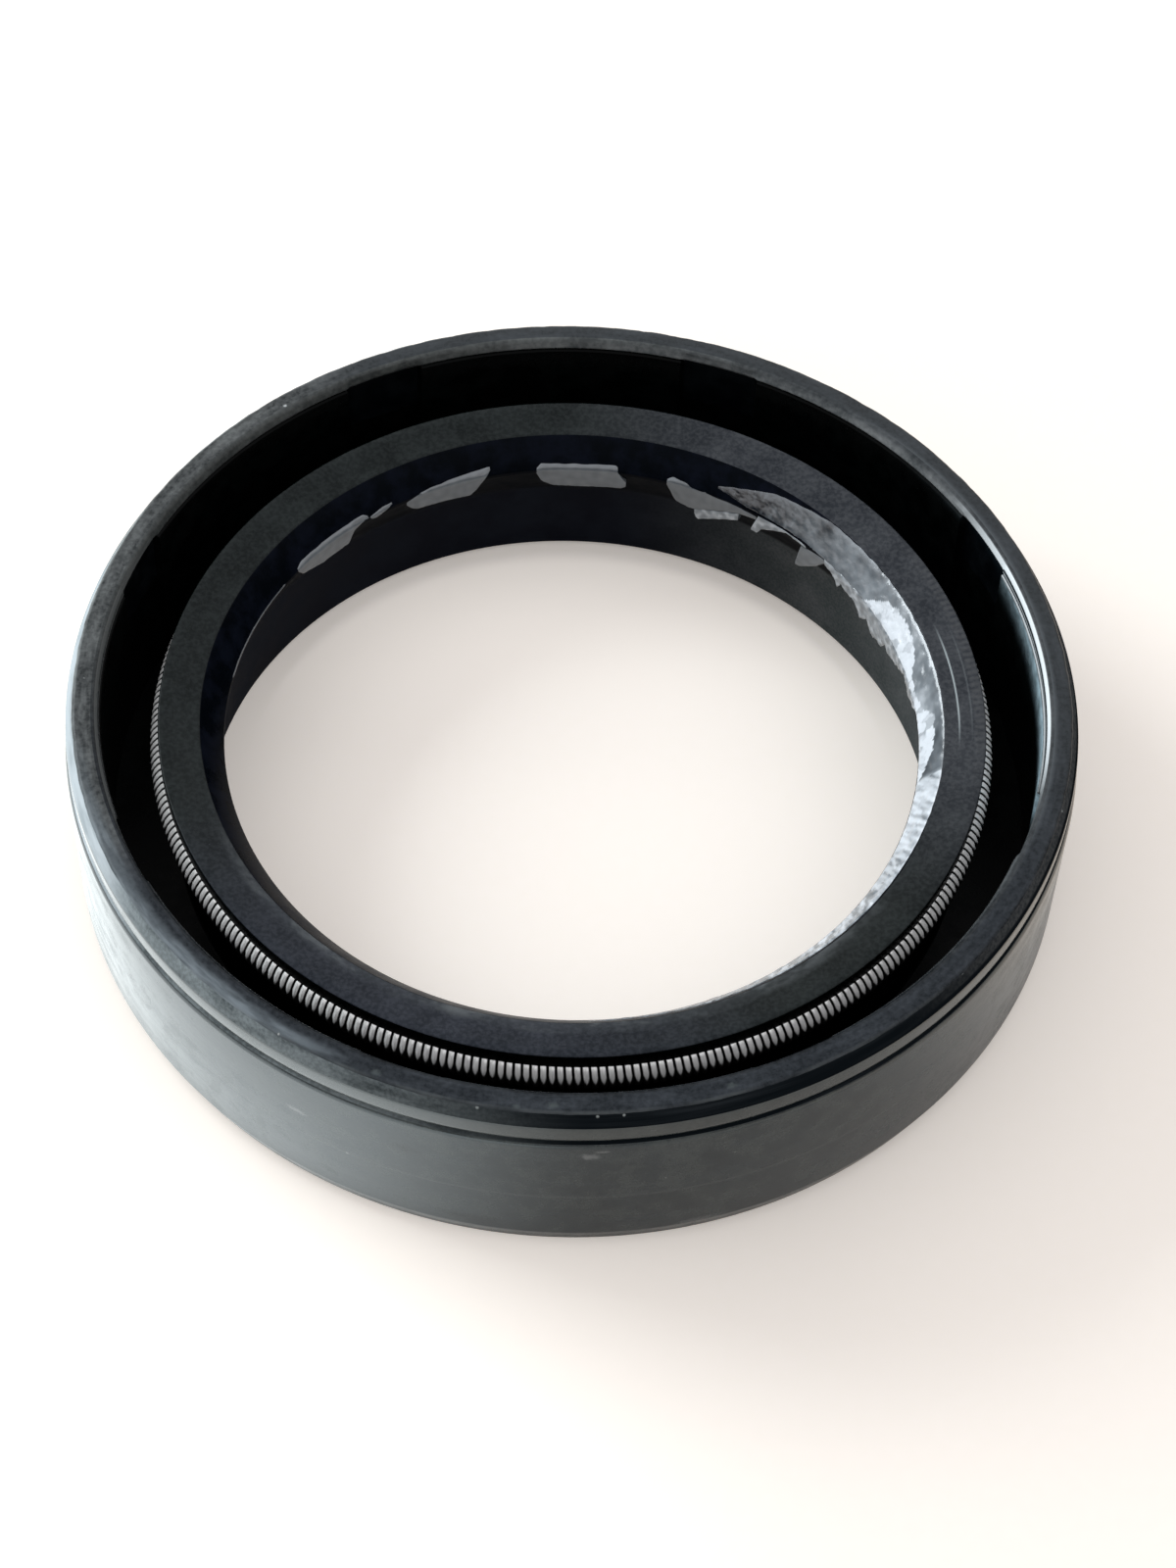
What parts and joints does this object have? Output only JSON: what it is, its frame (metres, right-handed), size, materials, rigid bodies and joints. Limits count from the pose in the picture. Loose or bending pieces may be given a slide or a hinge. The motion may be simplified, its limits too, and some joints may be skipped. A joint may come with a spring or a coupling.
{
  "type": "radial shaft seal",
  "caption": "Rubber-covered rotary shaft seal: ring with a steel case, a sprung sealing lip for the shaft and an open oil side.",
  "frame": {"origin": "on the shaft's axis, in the plane of the flat air-side base that the seal lies on", "axes": "+Z along the shaft's axis towards the open oil side with the spring; +X to the right as first seen, +Y away"},
  "size_m": [0.045, 0.045, 0.01],
  "materials": {
    "rubber": "satin, dusty, with oil and grease on it",
    "case_steel": "dark phosphate and bonding agent",
    "spring_steel": "drawn wire, oily"
  },
  "bodies": {
    "root": {"rubber_body": "rubber", "steel_case": "case_steel", "garter_spring": "spring_steel"}
  },
  "joints": []
}
